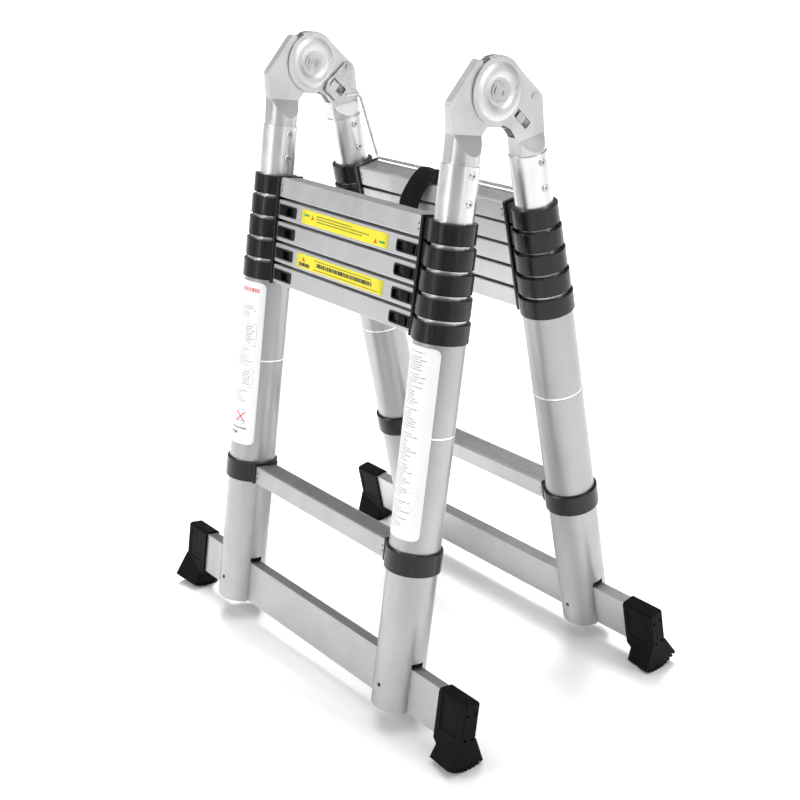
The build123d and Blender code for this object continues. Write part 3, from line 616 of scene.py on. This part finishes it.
def webbing():
    """Black woven polyester with a fine twill and slightly fuzzy edges."""
    material, surface = new_material("webbing")
    across, along = flat_millimetres(material)
    zigzag = maths(material, "PINGPONG", across, 5.0)
    warp = maths(material, "SINE", maths(material, "MULTIPLY", across, 5.2))
    weft = maths(material, "SINE", maths(material, "MULTIPLY", maths(material, "ADD", along, zigzag), 3.4))
    weave = maths(material, "MULTIPLY", maths(material, "ADD", warp, 1.6), maths(material, "ADD", weft, 1.6))
    place = node(material, "TexCoord").outputs["Object"]
    fuzz = stretched_noise(material, place, (1500, 1500, 1500), 3.0)
    patches = stretched_noise(material, place, (60, 60, 60), 3.0)
    height = maths(material, "ADD", maths(material, "MULTIPLY", weave, 0.2),
                   maths(material, "MULTIPLY", fuzz, 0.5))
    level = maths(material, "ADD", spread(material, weave, 0.3, 6.0, 0, 0.7),
                  spread(material, patches, 0.4, 0.7, 0, 0.3))
    colour = blend_colour(material, level, (0.0025, 0.0025, 0.003, 1), (0.014, 0.014, 0.015, 1))
    gloss = vary(material, fuzz, 0.72, 0.9)
    bump = node(material, "Bump", {"Height": height, "Strength": 0.6, "Distance": 0.0003})
    return dress(material, surface, colour, gloss, bump, Specular_IOR_Level=0.14)


def curve_through(points, steps):
    """Points along a smooth curve through the given ones."""
    ends = [points[0] * 2 - points[1], *points, points[-1] * 2 - points[-2]]
    result = []
    for index in range(1, len(ends) - 2):
        a, b, c, d = ends[index - 1:index + 3]
        for step in range(steps):
            t = step / steps
            result.append(0.5 * (2 * b + (c - a) * t + (2 * a - 5 * b + 4 * c - d) * t * t
                                 + (3 * b - a - 3 * c + d) * t ** 3))
    return result + [points[-1]]


STRAP_WIDTH, STRAP_THICKNESS = 0.040, 0.0015
STRAP_LEFT = -0.053                 # left edge of the free end
STRAP_PULL = 0.030                  # how far right the rest of it lies
PULL_FROM, PULL_OVER = 0.020, 0.060  # where along it the shift starts, and over what length
STRAP_RIPPLE = 0.0004
STRAP_COLUMNS = 20
# the strap's centreline: y, and height from the hinge axis
STRAP_COURSE = [(0.0424, -0.205), (0.0428, -0.190), (0.0430, -0.172), (0.0432, -0.156), (0.0450, -0.142),
                (0.0520, -0.1315), (0.0610, -0.1290), (0.0700, -0.1345), (0.0760, -0.1392), (0.0815, -0.1398),
                (0.0850, -0.1430), (0.0866, -0.1500), (0.0882, -0.1600), (0.0892, -0.1665)]


def strap():
    """The strap as one closed band with thin edges."""
    course = curve_through([Vector((0, y, PIVOT + z)) for y, z in STRAP_COURSE], 6)
    vertices, flat, faces = [], [], []
    travelled = 0.0
    length = sum((b - a).length for a, b in zip(course, course[1:]))
    for index, centre in enumerate(course):
        before, after = course[max(0, index - 1)], course[min(len(course) - 1, index + 1)]
        heading = (after - before).normalized()
        outward = Vector((1, 0, 0)).cross(heading)
        if index:
            travelled += (centre - course[index - 1]).length
        pulled = min(1.0, max(0.0, (travelled - PULL_FROM) / PULL_OVER))
        shift = STRAP_PULL * pulled * pulled * (3 - 2 * pulled)
        for side in (1, -1):
            for step in range(STRAP_COLUMNS + 1):
                share = step / STRAP_COLUMNS if side == 1 else 1 - step / STRAP_COLUMNS
                edge = min(share, 1 - share) * STRAP_WIDTH
                half = STRAP_THICKNESS / 2 * math.sqrt(min(1.0, edge / 0.0008 * 0.9 + 0.1))
                across = STRAP_LEFT + share * STRAP_WIDTH + shift
                bow = STRAP_RIPPLE * math.sin(share * math.pi * 3 + travelled * 60)
                vertices.append(centre + Vector((across, 0, 0)) + outward * (side * half + bow))
                flat.append((share * STRAP_WIDTH, travelled))
    ring = 2 * (STRAP_COLUMNS + 1)
    for index in range(len(course) - 1):
        for step in range(ring):
            a, b = index * ring + step, index * ring + (step + 1) % ring
            faces.append((a, b, b + ring, a + ring))
    faces.append(tuple(reversed(range(ring))))
    faces.append(tuple(range((len(course) - 1) * ring, len(course) * ring)))
    made = add_mesh("strap_webbing", vertices, faces, webbing())
    add_flat_layer(made, flat)
    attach(made, "rear_stage_5")
    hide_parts("strap")


strap()
